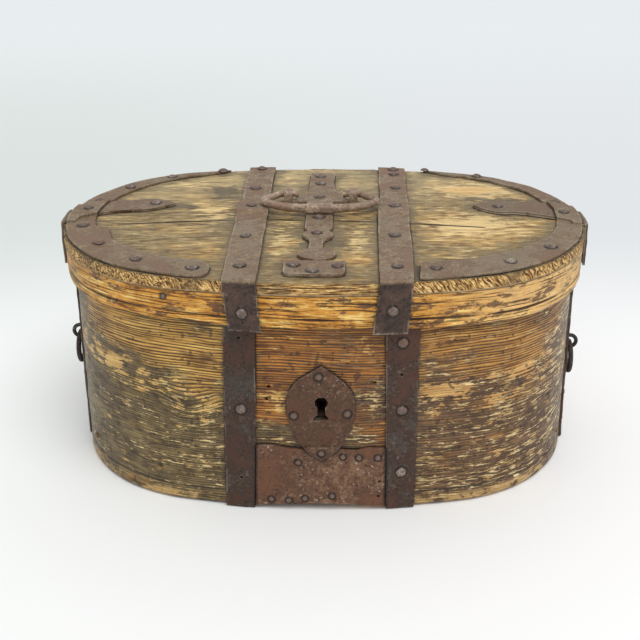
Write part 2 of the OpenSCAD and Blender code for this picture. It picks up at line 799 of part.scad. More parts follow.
// Half of the handle's path: x, y, z, half height, half breadth and how round the bar is there
grip_z = iron + 0.4 + 4.1 - bail_rise;
grip_path = [[0, -35.5, grip_z, 4.15, 4.8, 0.62], [11.3, -35.4, grip_z, 4.15, 4.8, 0.62],
    [12, -35.4, grip_z, 4, 4.4, 0.8], [12.7, -35.4, grip_z, 3.9, 4, 1], [20, -34.9, grip_z * 0.95, 3.9, 4, 1],
    [27, -34, grip_z * 0.85, 3.8, 3.9, 1], [33, -32.8, grip_z * 0.7, 3.7, 3.8, 1],
    [38, -31.2, grip_z * 0.5, 3.6, 3.7, 1], [42.4, -29.3, grip_z * 0.25, 3.5, 3.5, 1],
    [46, -27.2, grip_z * 0.1, 3.4, 3.4, 1], [48.9, -24.8, 0, 3.3, 3.3, 1], [50.6, -22.4, 0, 3.3, 3.3, 1],
    [51.2, -19.8, 0, 3.3, 3.3, 1], [50.6, -17.2, 0, 3.3, 3.3, 1], [48.9, -14.6, 0, 3.2, 3.2, 1],
    [46, -11.4, 0, 3.2, 3.2, 1], [43, -8.2, 0, 3.1, 3.1, 1], [40.6, -5.2, 0, 3.1, 3.1, 1],
    [38.8, -2.6, 0, 3.1, 3.1, 1], [36.8, -0.7, 0, 3.1, 3.1, 1], [34.3, 0, 0, 3.1, 3.1, 1]];
grip_sides = 24;

function whole_path() = let (n = len(grip_path))
    [for (i = [-(n - 1):n - 1]) let (p = grip_path[abs(i)]) [i < 0 ? -p[0] : p[0], p[1], p[2], p[3], p[4], p[5]]];

// Corner of the bar's outline at angle a; a low power gives a squarer outline
function soft(v, power) = sign(v) * pow(abs(v), power);

// Bar swept along a path in short steps
module swept_bar(path, sides) {
    n = len(path);
    corners = [for (i = [0:n - 1]) let (
        a = path[max(i - 1, 0)],
        b = path[min(i + 1, n - 1)],
        dx = i == 0 || i == n - 1 ? (b[0] < a[0] ? -1 : 1) : b[0] - a[0],
        dy = i == 0 || i == n - 1 ? 0 : b[1] - a[1],
        run = sqrt(dx * dx + dy * dy))
        for (k = [0:sides - 1]) let (
            c = soft(cos(360 * k / sides), path[i][5]) * path[i][4],
            h = soft(sin(360 * k / sides), path[i][5]) * path[i][3])
            [path[i][0] + c * dy / run, path[i][1] - c * dx / run, path[i][2] + h]];
    skin = [for (i = [0:n - 2], k = [0:sides - 1]) let (m = (k + 1) % sides)
        [i * sides + k, i * sides + m, (i + 1) * sides + m, (i + 1) * sides + k]];
    polyhedron(concat(corners, []), concat(skin, [[for (k = [sides - 1:-1:0]) k]],
        [[for (k = [0:sides - 1]) (n - 1) * sides + k]]));
}

// Bowed handle that lies forward on the lid, with its round ends turned in through the eyes
module handle() {
    color("dimgray") translate([-3.5, bail_y, lid_top + bail_rise]) {
        swept_bar(whole_path(), grip_sides);
        for (s = [-1, 1]) {
            rotate([0, s * -90, 0]) translate([0, 0, -36]) {
                cylinder(r = bail_pin_r, h = 13.5);
                translate([0, 0, 13]) cylinder(r = bail_pin_r + 0.8, h = 2.6);
            }
        }
    }
}

// Eye of flat iron looped over the handle's end, its legs through the board and bent over below
module handle_eye(x) {
    bore = bail_pin_r + 0.08;
    outer = bore + 2.3;
    low = rim_top - 1.9;
    translate([x - 3.8, bail_y, 0]) rotate([90, 0, 90]) linear_extrude(7.6) {
        difference() {
            translate([0, lid_top + bail_rise]) circle(r = outer);
            translate([0, lid_top + bail_rise]) circle(r = bore);
            translate([-10, lid_top + bail_rise - 20]) square([20, 20]);
        }
        for (s = [-1, 1]) {
            translate([s * (bore + 1.15) - 1.15, low]) square([2.3, lid_top + bail_rise - low]);
            translate([s > 0 ? bore : -bore - 9, low]) square([9, 1.8]);
        }
    }
}

module handle_eye_left() {
    color("gray") handle_eye(-33.5);
}

module handle_eye_right() {
    color("gray") handle_eye(26.5);
}

// Lock inside the front wall

module lock_plate() {
    color("gray") difference() {
        translate([-31, inner_y, 81]) cube([87, 1.6, 72]);
        key_opening(0.4);
        for (n = lock_corners) {
            translate([n[0], inner_y + 5, n[1]]) rotate([90, 0, 0]) cylinder(r = hole_r, h = 10);
        }
    }
}

// Bolt with the talon that the key's bit pushes
module lock_bolt() {
    color("lightgray") {
        translate([-7, bolt_y - 2.5, bolt_z - 5]) cube([55, 5, 10]);
        translate([7, bolt_y - 2.5, bolt_z - 13]) cube([4, 5, 9]);
    }
}

// Two keepers that the bolt slides through
module bolt_keepers() {
    color("gray") for (x = [16, 35]) {
        difference() {
            translate([x - 3.5, inner_y + 1.6, bolt_z - 8]) cube([7, bolt_y + 5.5 - inner_y - 1.6, 16]);
            translate([x - 5, bolt_y - 2.6, bolt_z - 5.1]) cube([10, 5.2, 10.2]);
        }
    }
}

// Leaf spring that lies over the bolt from a foot on the plate
module bolt_spring() {
    color("silver") translate([0, bolt_y - 1.5, 0]) rotate([90, 0, 0]) translate([0, 0, -3])
        linear_extrude(3) polygon([[51, 139], [52, 139], [52, 142], [28, 142], [24.6, 130.6], [22.6, 132.5],
            [22, 131.8], [24.9, 129.3], [29, 141], [51, 141]]);
    color("silver") translate([49, inner_y + 1.6, 137]) cube([3, bolt_y + 1.5 - inner_y - 1.6, 5]);
}

// Strip bridge over the key's path with the pin that a hollow key turns on
module key_bridge() {
    color("gray") {
        translate([-5, 0, 0]) rotate([90, 0, 90]) linear_extrude(12)
            polygon([[inner_y + 1.6, 83], [inner_y + 3.2, 83], [inner_y + 3.2, 85.4], [-109, 85.4], [-109, 138],
                [inner_y + 3.2, 138], [inner_y + 3.2, 140.4], [inner_y + 1.6, 140.4], [inner_y + 1.6, 136.4],
                [-110.6, 136.4], [-110.6, 87], [inner_y + 1.6, 87]]);
        translate([1, -109.6, 103.2]) rotate([90, 0, 0]) cylinder(r = 1.75, h = 22);
    }
}

// Nails

module lid_nails() {
    all = concat(hinge_left_nails, hinge_right_nails, [front_left_nails[1], front_left_nails[2]],
        [front_right_nails[1], front_right_nails[2]], centre_nails, plate_nails, crescent_left_nails,
        crescent_right_nails, [leaf_left_nail, leaf_right_nail]);
    color("dimgray") for (i = [0:len(all) - 1]) {
        translate(all[i]) nail(some(i), head_h + 0.3 * cos(i * 97), all[i][2] - lid_top + 7.5);
    }
}

module rim_nails() {
    color("dimgray") {
        for (n = [rim_nail_left, rim_nail_right]) {
            at_front(n[0], n[1], -iron) nail(head_r, head_h, 7.5);
        }
        for (s = [-1, 1]) {
            translate([s * (box_length / 2 + iron), 0, 191]) rotate([0, s * 90, 0]) nail(head_r, head_h, 7.5);
        }
        // Small nail straight into the rim's wood
        translate([-end_centre, 0, 194.5]) rotate([0, 90, 255.4])
            translate([0, 0, end_r - rim_inset]) nail(2.4, 1.3, 3.5);
    }
}

module body_nails() {
    color("dimgray") {
        for (n = concat(strap_left_nails, strap_right_nails)) {
            at_front(n[0], n[1], wall_face) nail(head_r, head_h, 7);
        }
        for (n = lower_nails) {
            at_front(n[0], n[1], wall_inset - sheet) nail(2.7, 1.3, 6.5);
        }
        for (n = key_plate_nails) {
            at_front(n[0], n[1], wall_inset - sheet) nail(3.4, 1.3, 6.5);
        }
        at_front(key_plate_low_nail[0], key_plate_low_nail[1], wall_inset - 2 * sheet - 0.05)
            nail(2.9, 1.3, 8);
        for (x = [-strap_x, strap_x], z = hinge_back_z) {
            at_back(x, z, wall_face) nail(head_r, head_h, 7);
        }
        for (s = [-1, 1], z = end_nail_z) {
            translate([s * (box_length / 2 - wall_face), 0, z]) rotate([0, s * 90, 0]) nail(head_r, head_h, 7);
        }
    }
}

module lock_nails() {
    color("dimgray") for (n = lock_corners) {
        translate([n[0], inner_y + 1.6, n[1]]) rotate([-90, 0, 0]) nail(2.8, 1.4, 5);
    }
}

body_wall();
wall_lacing();
bottom_board();
bottom_pegs();
lid_board();
lid_rim();
rim_lacing();
body_strap_left();
body_strap_right();
lower_plate();
keyhole_plate();
body_hinge_left();
body_hinge_right();
hinge_pin_left();
hinge_pin_right();
lid_hinge_left();
lid_hinge_right();
lid_strap_left();
lid_strap_right();
centre_strap();
staple_plate();
lock_staple();
crescent_left();
crescent_right();
lid_end_strap_left();
lid_end_strap_right();
body_end_strap_left();
body_end_strap_right();
ring_staple_left();
ring_staple_right();
ring_left();
ring_right();
handle();
handle_eye_left();
handle_eye_right();
lock_plate();
lock_bolt();
bolt_keepers();
bolt_spring();
key_bridge();
lid_nails();
rim_nails();
body_nails();
lock_nails();
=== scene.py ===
# Iron-bound bentwood food box: worn wood, forged iron, floor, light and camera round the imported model.
import json
from math import cos, exp, radians, sin

import bmesh
import bpy
from mathutils import Matrix, Vector, noise
from mathutils.bvhtree import BVHTree

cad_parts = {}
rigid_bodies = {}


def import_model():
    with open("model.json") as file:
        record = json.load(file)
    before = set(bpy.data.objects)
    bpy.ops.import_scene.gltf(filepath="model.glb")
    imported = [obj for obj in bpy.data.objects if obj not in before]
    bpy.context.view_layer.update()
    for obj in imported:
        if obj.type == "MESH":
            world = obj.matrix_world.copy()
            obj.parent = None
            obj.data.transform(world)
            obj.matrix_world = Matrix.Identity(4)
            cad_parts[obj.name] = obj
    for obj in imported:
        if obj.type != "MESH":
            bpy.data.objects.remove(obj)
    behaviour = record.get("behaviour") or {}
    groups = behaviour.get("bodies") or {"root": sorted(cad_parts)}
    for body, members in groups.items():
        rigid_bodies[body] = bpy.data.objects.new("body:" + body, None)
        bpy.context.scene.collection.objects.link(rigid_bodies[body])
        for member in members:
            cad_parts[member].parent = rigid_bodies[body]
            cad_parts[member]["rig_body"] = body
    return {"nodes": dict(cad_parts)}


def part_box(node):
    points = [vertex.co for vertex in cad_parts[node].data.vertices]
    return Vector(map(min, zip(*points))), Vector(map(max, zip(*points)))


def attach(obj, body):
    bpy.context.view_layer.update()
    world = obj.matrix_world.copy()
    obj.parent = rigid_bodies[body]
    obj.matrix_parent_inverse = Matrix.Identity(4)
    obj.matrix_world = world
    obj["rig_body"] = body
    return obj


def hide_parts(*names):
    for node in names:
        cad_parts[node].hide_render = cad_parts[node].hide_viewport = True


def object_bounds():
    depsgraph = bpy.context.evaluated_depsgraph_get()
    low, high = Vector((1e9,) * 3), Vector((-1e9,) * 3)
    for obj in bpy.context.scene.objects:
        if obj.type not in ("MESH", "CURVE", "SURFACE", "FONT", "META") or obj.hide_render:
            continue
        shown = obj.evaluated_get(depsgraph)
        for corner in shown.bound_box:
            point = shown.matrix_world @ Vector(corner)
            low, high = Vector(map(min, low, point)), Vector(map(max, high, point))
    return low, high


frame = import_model()
cad_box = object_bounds()
nodes = frame["nodes"]

# Places on the box, in metres
LID_TOP = 0.212
BOARD_LOW = 0.201
CRACK_LOW = 0.208
RIM_LOW = 0.172
RIM_FALL = 0.012
HINGE_LINE = (0.145, 0.1655)
KEYHOLE = (0.001, -0.146, 0.098)

# The oval's four arcs: the ends' centres and radius, and those of the long sides
END_X = 0.090
END_R = 0.140
SIDE_K = 0.400
SIDE_R = 0.550

FORGED = ("lid_hinge_left", "lid_hinge_right", "lid_strap_left", "lid_strap_right", "centre_strap",
          "staple_plate", "crescent_left", "crescent_right", "lid_end_strap_left",
          "lid_end_strap_right", "body_strap_left", "body_strap_right", "lower_plate",
          "keyhole_plate", "body_hinge_left", "body_hinge_right", "body_end_strap_left",
          "body_end_strap_right")
NAILS = ("lid_nails", "rim_nails", "body_nails")
OTHER_IRON = ("ring_staple_left", "ring_staple_right", "handle_eye_left", "handle_eye_right")
# Pieces that lie over or close beside another and paint shade on it there
COVERS = {"lower_plate": ("keyhole_plate", "body_strap_left", "body_strap_right"),
          "body_strap_left": ("lower_plate", "lid_strap_left"),
          "body_strap_right": ("lower_plate", "lid_strap_right"),
          "lid_hinge_left": ("lid_strap_left",), "lid_hinge_right": ("lid_strap_right",),
          "lid_end_strap_left": ("crescent_left",), "lid_end_strap_right": ("crescent_right",)}
# Pieces that are darker than others of their iron
DARKER = {"keyhole_plate": 0.9, "body_strap_left": 0.4, "lid_end_strap_left": 0.4,
          "lid_end_strap_right": 0.9}


class Wire:
    """A value on its way through a material's nodes. Sums and products on it add Math nodes."""

    def __init__(self, tree, socket):
        self.tree = tree
        self.socket = socket

    def node(self, kind, settings=None, inputs=None, out=0):
        """Adds a node with its settings, then the values or wires of its sockets."""
        made = self.tree.nodes.new(kind)
        for name, value in (settings or {}).items():
            setattr(made, name, value)
        for name, value in (inputs or {}).items():
            if isinstance(value, Wire):
                self.tree.links.new(value.socket, made.inputs[name])
            else:
                made.inputs[name].default_value = value
        return Wire(self.tree, made.outputs[out])

    def math(self, operation, *values):
        return self.node("ShaderNodeMath", {"operation": operation}, dict(enumerate(values)))

    def vector_math(self, operation, *values, out=0):
        return self.node("ShaderNodeVectorMath", {"operation": operation}, dict(enumerate(values)), out)

    def __add__(self, other):
        return self.math("ADD", self, other)

    def __mul__(self, other):
        return self.math("MULTIPLY", self, other)

    def __sub__(self, other):
        return self.math("SUBTRACT", self, other)

    def __rsub__(self, other):
        return self.math("SUBTRACT", other, self)

    def __truediv__(self, other):
        return self.math("DIVIDE", self, other)

    __radd__ = __add__
    __rmul__ = __mul__

    def size(self):
        return self.math("ABSOLUTE", self)

    def most(self, other):
        return self.math("MAXIMUM", self, other)

    def rise(self, low, high):
        """0 below low, 1 above high and a smooth step between them."""
        return self.node("ShaderNodeMapRange", {"interpolation_type": "SMOOTHSTEP"},
                         {"Value": self, "From Min": low, "From Max": high})

    def axes(self):
        return [self.node("ShaderNodeSeparateXYZ", None, {0: self}, out) for out in range(3)]

    def grain(self, scale=1.0, detail=2.0, roughness=0.5):
        """Noise about 0.5 at the places on this wire."""
        return self.node("ShaderNodeTexNoise", None,
                         {"Vector": self, "Scale": scale, "Detail": detail, "Roughness": roughness})

    def mixed(self, first, second):
        """Colour between two, with this value as the share of the second."""
        return self.node("ShaderNodeMix", {"data_type": "RGBA"}, {0: self, 6: first, 7: second}, 2)


def spot(place, centre, reach):
    """1 at a place on the object, falling evenly to 0 at the reach along each axis."""
    apart = place.vector_math("SUBTRACT", place, centre)
    apart = apart.vector_math("DIVIDE", apart, reach)
    return (1 - apart.vector_math("LENGTH", apart, out=1)).most(0.0)


def rgb(red, green, blue):
    return (red, green, blue, 1.0)


def join(x, y, z):
    return x.node("ShaderNodeCombineXYZ", None, {0: x, 1: y, 2: z})


def new_finish(name):
    """A material with its surface shader, and the wire of places on the object."""
    material = bpy.data.materials.new(name)
    material.use_nodes = True
    tree = material.node_tree
    shader = tree.nodes["Principled BSDF"]
    place = Wire(tree, tree.nodes.new("ShaderNodeTexCoord").outputs["Object"])
    return material, shader, place


def measured(place, name):
    """A value that was worked out at each point of the mesh."""
    return place.node("ShaderNodeAttribute", {"attribute_name": name}, None, 2)


def facing_up(place):
    """1 on faces of the object that look straight up or down, 0 on upright ones."""
    return place.node("ShaderNodeTexCoord", None, None, 1).axes()[2].size()


def finish_with(shader, colour, roughness, height, depth, shine, coat=0.0, metallic=0.0):
    """Ends a material: colour, roughness and a bump of the given depth in metres, then its gloss."""
    tree = colour.tree
    tree.links.new(colour.socket, shader.inputs["Base Color"])
    tree.links.new(roughness.socket, shader.inputs["Roughness"])
    shader.inputs["Specular IOR Level"].default_value = shine
    shader.inputs["Coat Weight"].default_value = coat
    shader.inputs["Coat Roughness"].default_value = 0.35
    shader.inputs["Metallic"].default_value = metallic
    bump = height.node("ShaderNodeBump", None, {"Strength": 1.0, "Distance": depth, "Height": height})
    tree.links.new(bump.socket, shader.inputs["Normal"])


# Wood

# Colour of painted shade: contact shadow lines beside iron, rings round nails and covers, and the
# keyhole's opening
PAINTED_SHADE = rgb(0.016, 0.012, 0.010)


def growth_lines(tall, x, y, apart, bend):
    """Growth lines a given distance apart, from 0 between them to 1 on the dark wood."""
    turn = (join(x * 7.0, y * 7.0, tall * 70.0).grain(1.0, 3.0, 0.6) - 0.5) * bend
    phase = tall * (1.0 / apart) + turn
    return (phase.math("FRACT", phase) - 0.5).size() * 2.0


def stained(colour, near, blotch, stain, reach, share):
    """Ragged stain that iron leaves in the wood beside it, and a painted contact shadow where they
    touch.
    """
    mask = (near + (blotch - 0.5) * 2.6).rise(reach, reach + 0.35)
    colour = (mask * share).mixed(colour, stain)
    # Painted contact shadow: a dark line in the wood right beside the iron
    return (near.rise(0.925, 0.985) * 0.85).mixed(colour, PAINTED_SHADE)


def body_wood():
    """Bent pine with ridged growth lines: gold under the rim, olive grey with rubbed dashes below."""
    material, shader, place = new_finish("body_wood")
    x, y, z = place.axes()
    near = measured(place, "near_iron")
    worn = measured(place, "worn")
    knot = spot(place, (-0.1105, -0.1304, 0.0911), (0.030, 0.03, 0.024))
    tall = z + (place.grain(8.0, 2.0) - 0.5) * 0.012 + knot * 0.010
    cloud = place.grain(18.0, 5.0, 0.66)
    mottle = place.grain(75.0, 4.0, 0.70)
    broad = join(x * 9.0, y * 9.0, z * 30.0).grain(1.0, 4.0, 0.64)
    fine = join(x * 34.0, y * 34.0, tall * 720.0).grain(1.0, 2.0, 0.65)
    streak = join(x * 14.0, y * 14.0, tall * 260.0).grain(1.0, 4.0, 0.70)
    lines = growth_lines(tall, x, y, 0.0024, 3.0)
    fade = join(x * 16.0, y * 16.0, tall * 90.0).grain(1.0, 2.0, 0.6)

    # Sound wood, from brown through orange to gold
    tone = streak * 0.45 + cloud * 0.20 + fine * 0.20 + mottle * 0.15
    gold = tone.rise(0.40, 0.51).mixed(rgb(0.200, 0.084, 0.017), rgb(0.670, 0.370, 0.080))
    gold = tone.rise(0.51, 0.60).mixed(gold, rgb(0.980, 0.650, 0.190))

    # Redder between the front straps, browner to the right of them
    redder = (1 - x.size().rise(0.050, 0.075)) * (1 - y.rise(-0.05, 0.05))
    red = tone.rise(0.38, 0.60).mixed(rgb(0.100, 0.028, 0.005), rgb(0.640, 0.240, 0.034))
    browner = x.rise(-0.03, 0.10)
    gold = (redder * 0.92).most(browner * 0.58).mixed(gold, red)
    dark_line = lines.rise(0.42, 0.74) * fade.rise(0.30, 0.46)
    colour = (dark_line * 0.88).mixed(gold, rgb(0.046, 0.018, 0.006))

    # Olive brown weathering, strong low down and at the ends; there it is partly painted shade, darker
    # towards the bottom and the two ends
    high = z.rise(0.080, 0.158)
    ends = x.size().rise(0.165, 0.222)
    grey = 0.98 - high * 0.66 - redder * 0.42 + ends * 0.42 + (broad - 0.5) * 2.2 + (cloud - 0.5) * 1.3
    grey = (grey - browner * 0.10 + (mottle - 0.5) * 0.6).rise(0.36, 0.74)
    weathered = (fine * 0.4 + mottle * 0.6).rise(0.38, 0.60)
    olive = weathered.mixed(rgb(0.044, 0.033, 0.016), rgb(0.215, 0.165, 0.072))
    brown = weathered.mixed(rgb(0.052, 0.025, 0.012), rgb(0.215, 0.118, 0.056))
    weather = browner.mixed(olive, brown)
    weather = (dark_line * 0.6).mixed(weather, rgb(0.034, 0.026, 0.017))
    colour = (grey * 0.86).mixed(colour, weather)

    # Painted sheen at the two ends: silver grey standing in for a reflection of the pale surroundings
    painted_sheen = x.size().rise(0.195, 0.226) * (cloud + mottle).rise(0.80, 1.15)
    colour = (painted_sheen * 0.55).mixed(colour, rgb(0.420, 0.400, 0.290))

    # Brown hollows, dark where dirt has stayed
    hollow = spot(place, (0.124, -0.127, 0.097), (0.070, 0.05, 0.020)) * 0.24
    hollow = hollow.most(spot(place, (0.041, -0.141, 0.096), (0.016, 0.03, 0.034)) * 0.26)
    hollow = (hollow + broad * 0.5 + cloud * 0.4 + mottle * 0.2 + worn * 0.25).rise(0.64, 0.74)
    colour = (hollow * 0.60).mixed(colour, rgb(0.080, 0.040, 0.023))

    # Band of rubbed, broken patches that runs across both halves of the front
    rubbed_at = 0.108 + (x * -1.0 - 0.125).most(-0.04) * 0.16 + (place.grain(9.0, 1.0) - 0.5) * 0.02
    band = 1 - (z - rubbed_at).size().rise(0.003, 0.026)
    blotch = join(x * 48.0, y * 48.0, z * 125.0).grain(1.0, 5.0, 0.72)
    marks = spot(place, (-0.180, -0.096, 0.119), (0.024, 0.03, 0.015))
    for centre, reach in (((-0.093, -0.134, 0.090), (0.014, 0.02, 0.018)),
                          ((-0.039, -0.140, 0.105), (0.018, 0.02, 0.022)),
                          ((0.037, -0.141, 0.151), (0.013, 0.02, 0.014)),
                          ((0.105, -0.132, 0.112), (0.034, 0.03, 0.009)),
                          ((0.170, -0.105, 0.119), (0.050, 0.05, 0.009))):
        marks = marks.most(spot(place, centre, reach))
    rubbed = (blotch - 0.5) * 1.7 + band * (1 - redder) * 0.14 + marks * 0.36
    rubbed = (rubbed + (fine - 0.5) * 0.4 - dark_line * 0.07).rise(0.185, 0.245)
    rubbed_wood = tone.rise(0.40, 0.58).mixed(rgb(0.420, 0.205, 0.048), rgb(0.930, 0.620, 0.205))
    rubbed_wood = (browner * 0.55).mixed(rubbed_wood, rgb(0.620, 0.310, 0.105))
    colour = (rubbed * 0.90).mixed(colour, rubbed_wood)

    # Ridges rubbed to short pale dashes, close together low down
    dashes = join(x * 80.0, y * 80.0, tall * 470.0).grain(1.0, 3.0, 0.72)
    dash = dashes + x * 0.12 + (fade - 0.5) * 0.30 + (cloud - 0.5) * 0.20
    dash = dash.rise(0.560, 0.615) * (0.15 + grey * 0.85)
    pale = (mottle + fine).rise(0.85, 1.15).mixed(rgb(0.440, 0.262, 0.085), rgb(0.960, 0.740, 0.370))
    colour = (dash * 0.92).mixed(colour, pale)

    # Bare wood along the foot with a dark line above it, and dark specks all over
    foot = (1 - z.rise(0.006, 0.013)) * (mottle + cloud + (fine - 0.5) * 0.5).rise(0.94, 1.08)
    colour = (foot * 0.85).mixed(colour, rgb(0.620, 0.390, 0.150))
    groove = 1 - (z - 0.0148 + (fade - 0.5) * 0.004).size().rise(0.0004, 0.0013)
    groove = groove * x.size().rise(0.05, 0.10)
    colour = (groove * 0.8).mixed(colour, rgb(0.030, 0.020, 0.012))
    specks = place.grain(210.0, 0.0).rise(0.70, 0.76)
    colour = (specks * 0.6).mixed(colour, rgb(0.034, 0.018, 0.011))
    colour = stained(colour, near, blotch, rgb(0.070, 0.046, 0.030), 0.95, 0.70)

    # Clean wood inside the box, and painted shade in the keyhole
    inside = 1 - worn.rise(0.0, 0.02)
    clean = (tone + (1 - dark_line) * 0.10).rise(0.42, 0.68)
    clean = clean.mixed(rgb(0.170, 0.095, 0.042), rgb(0.440, 0.285, 0.140))
    colour = inside.mixed(colour, clean)
    # Painted shade: the wood seen through the keyhole is made nearly black
    keyhole = spot(place, KEYHOLE, (0.016, 0.03, 0.026)).rise(0.0, 0.2)
    colour = (keyhole * 0.95).mixed(colour, PAINTED_SHADE)
    height = (1 - lines) * 0.5 + fine * 0.35 + dash * 0.3 - groove * 0.8 - specks * 0.4 + mottle * 0.3
    finish_with(shader, colour, 0.52 - dash * 0.10 + grey * 0.06, height, 0.0018, 0.2, 0.35)
    return material


def rim_wood():
    """Rim of bent pine: golden, rough and split along its growth lines, with purple brown smudges."""
    material, shader, place = new_finish("rim_wood")
    x, y, z = place.axes()
    near = measured(place, "near_iron")
    worn = measured(place, "worn")
    tall = z + x * RIM_FALL + (place.grain(7.0, 2.0) - 0.5) * 0.006
    cloud = place.grain(26.0, 4.0, 0.65)
    mottle = place.grain(120.0, 3.0, 0.70)
    streak = join(x * 30.0, y * 30.0, tall * 400.0).grain(1.0, 5.0, 0.74)
    fine = join(x * 90.0, y * 90.0, tall * 760.0).grain(1.0, 2.0, 0.65)
    lines = growth_lines(tall, x, y, 0.0034, 3.4)
    fade = join(x * 20.0, y * 20.0, tall * 110.0).grain(1.0, 2.0, 0.6)
    tone = streak * 0.55 + cloud * 0.15 + fine * 0.15 + mottle * 0.15
    gold = tone.rise(0.41, 0.50).mixed(rgb(0.170, 0.055, 0.010), rgb(0.700, 0.320, 0.050))
    gold = tone.rise(0.51, 0.59).mixed(gold, rgb(1.000, 0.720, 0.240))
    gold = (x.rise(0.07, 0.18) * 0.55).mixed(gold, rgb(1.000, 0.680, 0.300))
    crack = lines.rise(0.66, 0.92) * fade.rise(0.44, 0.56)
    colour = (crack * 0.9).mixed(gold, rgb(0.070, 0.026, 0.010))
    blotch = join(x * 44.0, y * 44.0, z * 105.0).grain(1.0, 5.0, 0.70)
    colour = (blotch.rise(0.54, 0.59) * 0.82).mixed(colour, rgb(0.110, 0.050, 0.030))
    deep = (worn + (mottle - 0.5) * 0.5).rise(0.52, 0.80)
    colour = (deep * 0.92).mixed(colour, rgb(0.040, 0.018, 0.010))
    joint = 1 - (BOARD_LOW - z).rise(0.0004, 0.0016)
    colour = (joint * 0.85).mixed(colour, rgb(0.025, 0.016, 0.010))
    olive = x.size().rise(0.175, 0.225) * (cloud + blotch).rise(0.85, 1.10)
    colour = (olive * 0.6).mixed(colour, rgb(0.210, 0.150, 0.060))
    colour = stained(colour, near, blotch, rgb(0.115, 0.062, 0.034), 0.95, 0.65)
    height = (1 - crack) * 0.5 + streak * 0.8 + fine * 0.4 - blotch * 0.4
    finish_with(shader, colour, 0.46 + blotch * 0.18, height, 0.0020, 0.2, 0.2)
    return material


